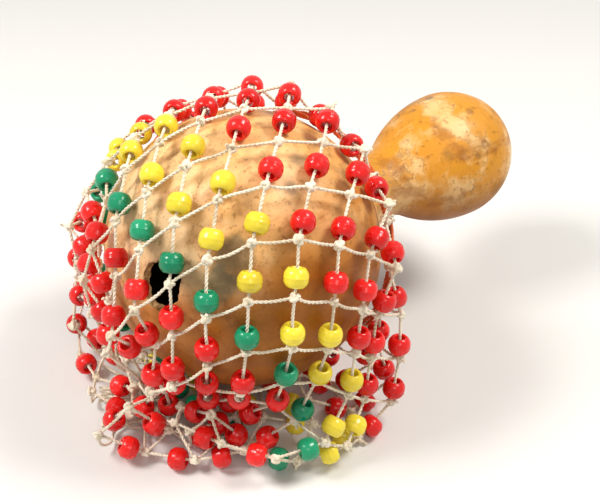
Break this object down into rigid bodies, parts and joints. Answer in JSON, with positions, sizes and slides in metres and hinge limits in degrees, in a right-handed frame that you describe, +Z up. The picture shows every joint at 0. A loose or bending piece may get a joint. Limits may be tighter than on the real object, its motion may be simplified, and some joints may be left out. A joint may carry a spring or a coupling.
{
  "type": "shekere",
  "caption": "Small gourd rattle lying on its side: hollow bottle gourd with a handle bulb, in a loose knotted net of barrel beads that turns on it and rattles.",
  "frame": {"origin": "on the table, straight below the centre of the gourd's belly, with the rattle lying on its side", "axes": "+X along the gourd's axis from the blossom end to the handle bulb, +Z up"},
  "size_m": [0.226, 0.1452, 0.1304],
  "materials": {
    "gourd": "dried gourd skin, waxy, tan to golden brown with grey stains and scabs",
    "twine": "cream twisted two-ply twine, matt",
    "collar_cord": "orange-red cord of several strands, matt",
    "bead_red": "glossy moulded plastic, red",
    "bead_yellow": "glossy moulded plastic, yellow",
    "bead_green": "glossy moulded plastic, green"
  },
  "bodies": {
    "gourd": {"gourd_shell": "gourd"},
    "net": {"bead_strands_row_01": "twine", "bead_strands_row_02": "twine", "bead_strands_row_03": "twine", "bead_strands_row_04": "twine", "bead_strands_row_05": "twine", "bead_strands_row_06": "twine", "bead_strands_row_07": "twine", "bead_strands_row_08": "twine", "bead_strands_row_09": "twine", "bead_strands_row_10": "twine", "beads_row_01": "bead_red", "beads_row_02": "bead_red", "beads_row_03": "bead_red", "beads_row_04": "bead_red", "beads_row_05": "bead_yellow", "beads_row_06": "bead_yellow", "beads_row_07": "bead_green", "beads_row_08": "bead_red", "beads_row_09": "bead_red", "beads_row_10": "bead_red", "collar_cord": "collar_cord", "collar_tie": "collar_cord", "cross_strands_row_01": "twine", "cross_strands_row_02": "twine", "cross_strands_row_03": "twine", "cross_strands_row_04": "twine", "cross_strands_row_05": "twine", "cross_strands_row_06": "twine", "cross_strands_row_07": "twine", "cross_strands_row_08": "twine", "cross_strands_row_09": "twine", "cross_strands_row_10": "twine", "gather_wrap": "twine", "hitch_knots": "twine", "hitch_loops": "twine", "knots_row_01": "twine", "knots_row_02": "twine", "knots_row_03": "twine", "knots_row_04": "twine", "knots_row_05": "twine", "knots_row_06": "twine", "knots_row_07": "twine", "knots_row_08": "twine", "knots_row_09": "twine", "knots_row_10": "twine", "tail_strands": "twine"},
    "hanging_beads_row_02": {"hanging_beads_row_02": "bead_red"},
    "hanging_beads_row_03": {"hanging_beads_row_03": "bead_red"},
    "hanging_beads_row_05": {"hanging_beads_row_05": "bead_yellow"},
    "hanging_beads_row_06": {"hanging_beads_row_06": "bead_yellow"},
    "hanging_beads_row_07": {"hanging_beads_row_07": "bead_green"},
    "hanging_beads_row_08": {"hanging_beads_row_08": "bead_red"}
  },
  "joints": [
    {"name": "net_turn", "type": "hinge", "parent": "gourd", "child": "net", "pos_m": [0, 0, 0.0653], "axis": [1, 0, 0], "continuous": true},
    {"name": "beads_row_02_lift", "type": "slide", "parent": "net", "child": "hanging_beads_row_02", "axis": [0, 0, 1], "range_m": [0, 0.004]},
    {"name": "beads_row_03_lift", "type": "slide", "parent": "net", "child": "hanging_beads_row_03", "axis": [0, 0, 1], "range_m": [0, 0.004]},
    {"name": "beads_row_05_lift", "type": "slide", "parent": "net", "child": "hanging_beads_row_05", "axis": [0, 0, 1], "range_m": [0, 0.004]},
    {"name": "beads_row_06_lift", "type": "slide", "parent": "net", "child": "hanging_beads_row_06", "axis": [0, 0, 1], "range_m": [0, 0.004]},
    {"name": "beads_row_07_lift", "type": "slide", "parent": "net", "child": "hanging_beads_row_07", "axis": [0, 0, 1], "range_m": [0, 0.004]},
    {"name": "beads_row_08_lift", "type": "slide", "parent": "net", "child": "hanging_beads_row_08", "axis": [0, 0, 1], "range_m": [0, 0.004]}
  ]
}
